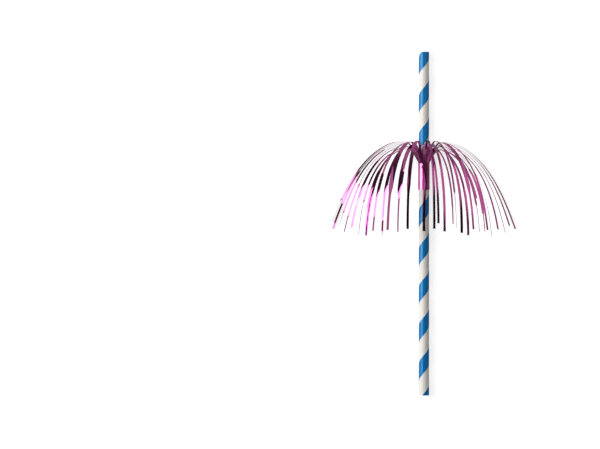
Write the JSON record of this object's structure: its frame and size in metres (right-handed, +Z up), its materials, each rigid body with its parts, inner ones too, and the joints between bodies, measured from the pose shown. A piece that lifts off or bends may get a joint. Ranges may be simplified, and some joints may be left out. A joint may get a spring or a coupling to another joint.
{
  "type": "paper drinking straw with a foil fringe burst",
  "caption": "Striped paper drinking straw with a rolled foil band whose slit edge springs out as a burst of drooping strands.",
  "frame": {"origin": "middle of the straw's length, on the surface that the part lies on, under the straw", "axes": "+Y along the straw towards its drinking end, +Z up from the surface, +X to the right"},
  "size_m": [0.1064, 0.197, 0.0403],
  "materials": {
    "paper": "satin",
    "foil": "gloss"
  },
  "bodies": {
    "root": {"paper_tube": "paper", "foil_fringe": "foil"}
  },
  "joints": []
}
